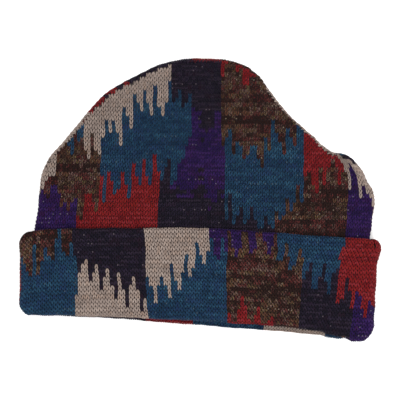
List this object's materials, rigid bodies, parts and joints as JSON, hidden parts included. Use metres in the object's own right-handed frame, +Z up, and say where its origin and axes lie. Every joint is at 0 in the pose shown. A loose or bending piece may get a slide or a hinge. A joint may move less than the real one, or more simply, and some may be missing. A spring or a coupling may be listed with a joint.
{
  "type": "knitted beanie",
  "caption": "Double-knit pull-on beanie with a deep turned-up cuff and a toothed block pattern, lying flat.",
  "frame": {"origin": "on the surface that the beanie lies on, under the middle of its bounding box", "axes": "+X along the cuff to the wearer's left side of the front panel, +Y from the mouth up to the top of the crown, +Z up from the surface"},
  "size_m": [0.2496, 0.1956, 0.0256],
  "materials": {
    "crown_knit": "matte wool-blend double knit in teal, red, aubergine, purple, brown heather and oatmeal yarns",
    "cuff_knit": "matte wool-blend double knit in the same yarns, doubled back on itself"
  },
  "bodies": {
    "root": {"crown_front": "crown_knit", "crown_back": "crown_knit", "cuff_front": "cuff_knit", "cuff_back": "cuff_knit"}
  },
  "joints": []
}
